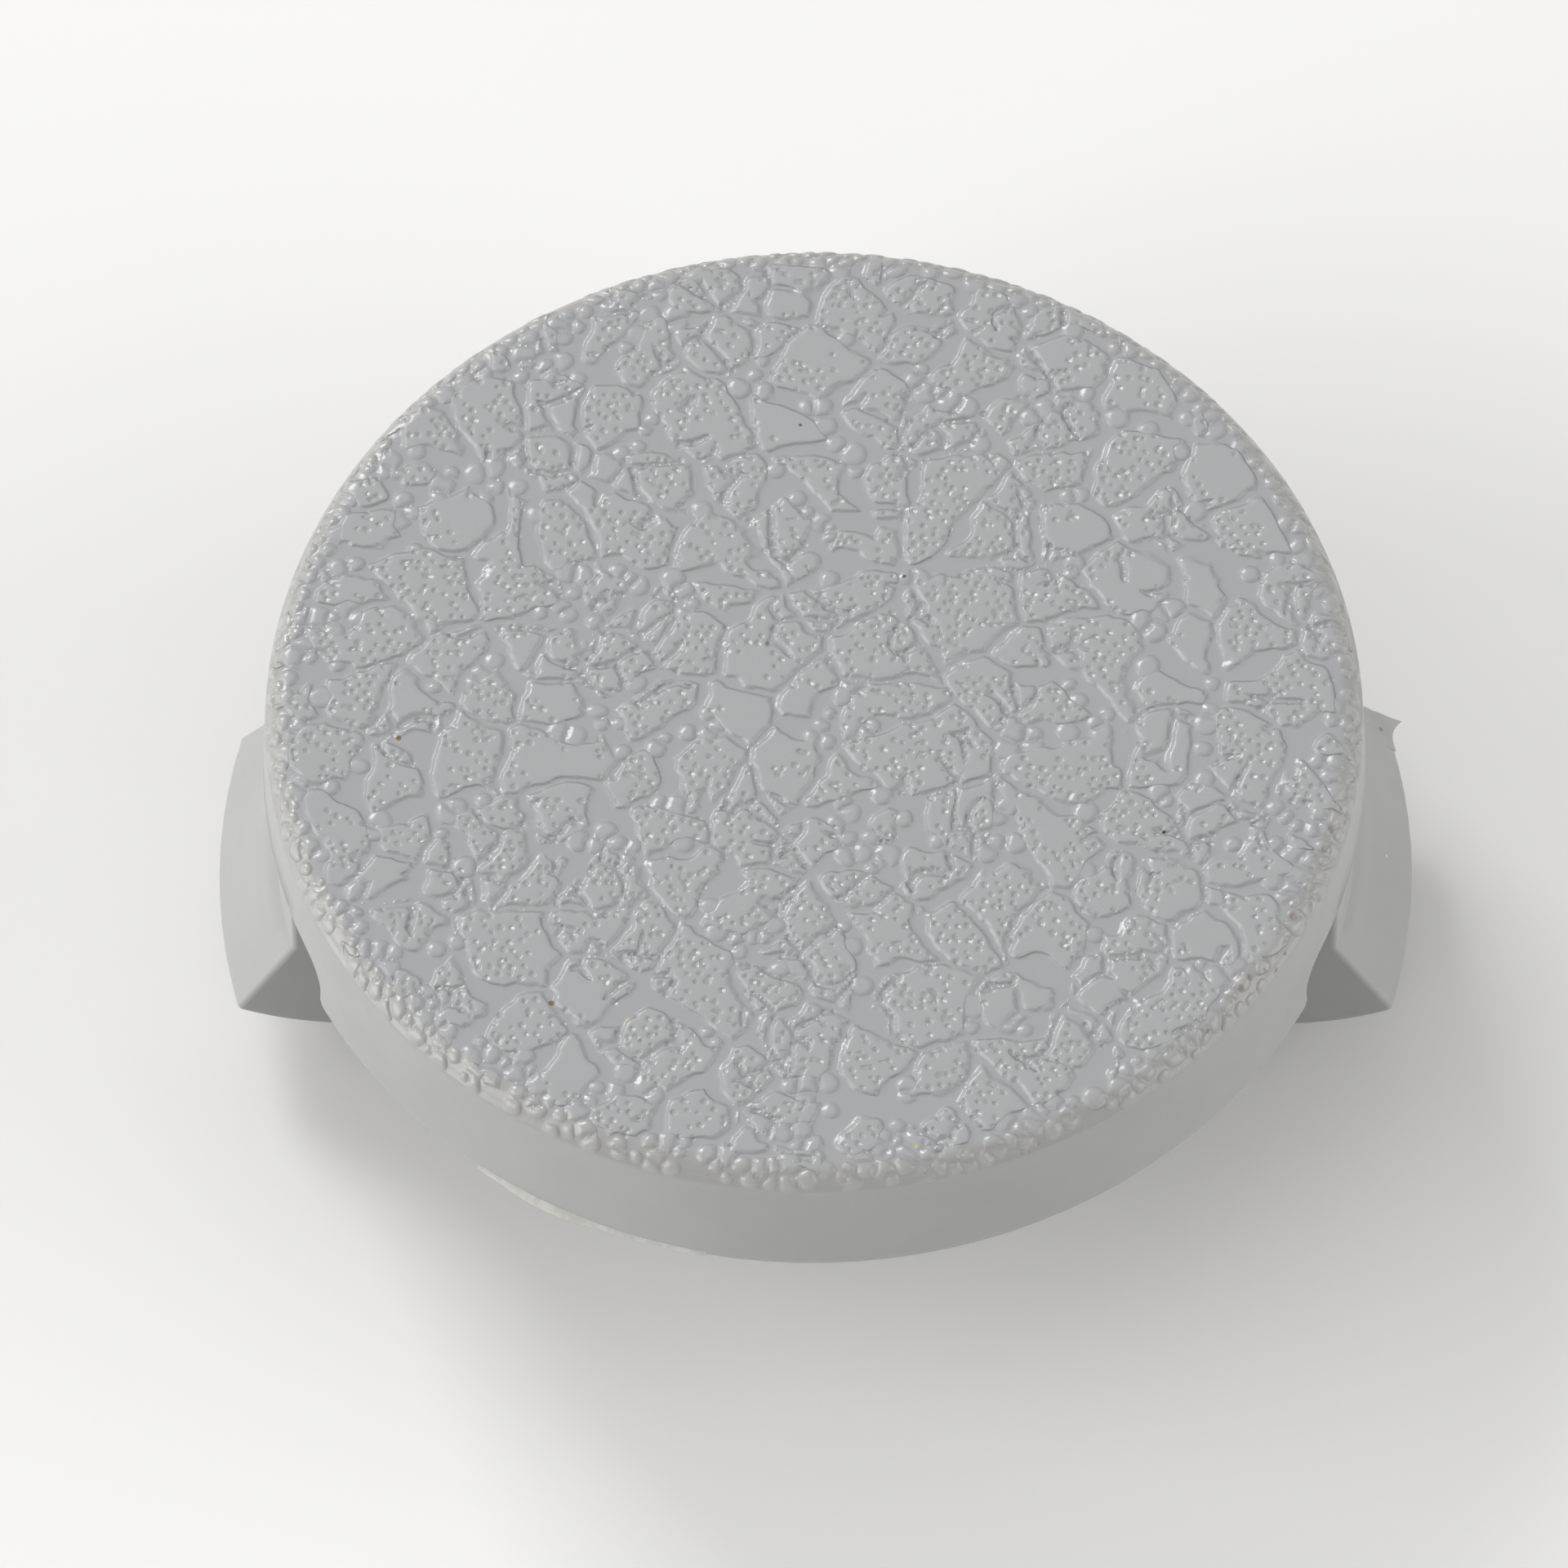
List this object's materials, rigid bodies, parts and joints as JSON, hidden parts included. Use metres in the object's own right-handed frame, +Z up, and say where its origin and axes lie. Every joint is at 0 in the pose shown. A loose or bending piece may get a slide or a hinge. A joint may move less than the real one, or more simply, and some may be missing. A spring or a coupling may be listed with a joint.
{
  "type": "plastic hole plug",
  "caption": "Round snap-in hole plug with a grained flat cap, a short skirt and a barbed leg at each side.",
  "frame": {"origin": "middle of the floor that the legs' toes stand on, on the cap's axis", "axes": "+Z up through the cap, X through the two legs"},
  "size_m": [0.0274, 0.0252, 0.0092],
  "materials": {
    "grey_plastic": "satin moulded plastic, with a leather grain on the top face"
  },
  "bodies": {
    "root": {"hole_plug": "grey_plastic"}
  },
  "joints": []
}
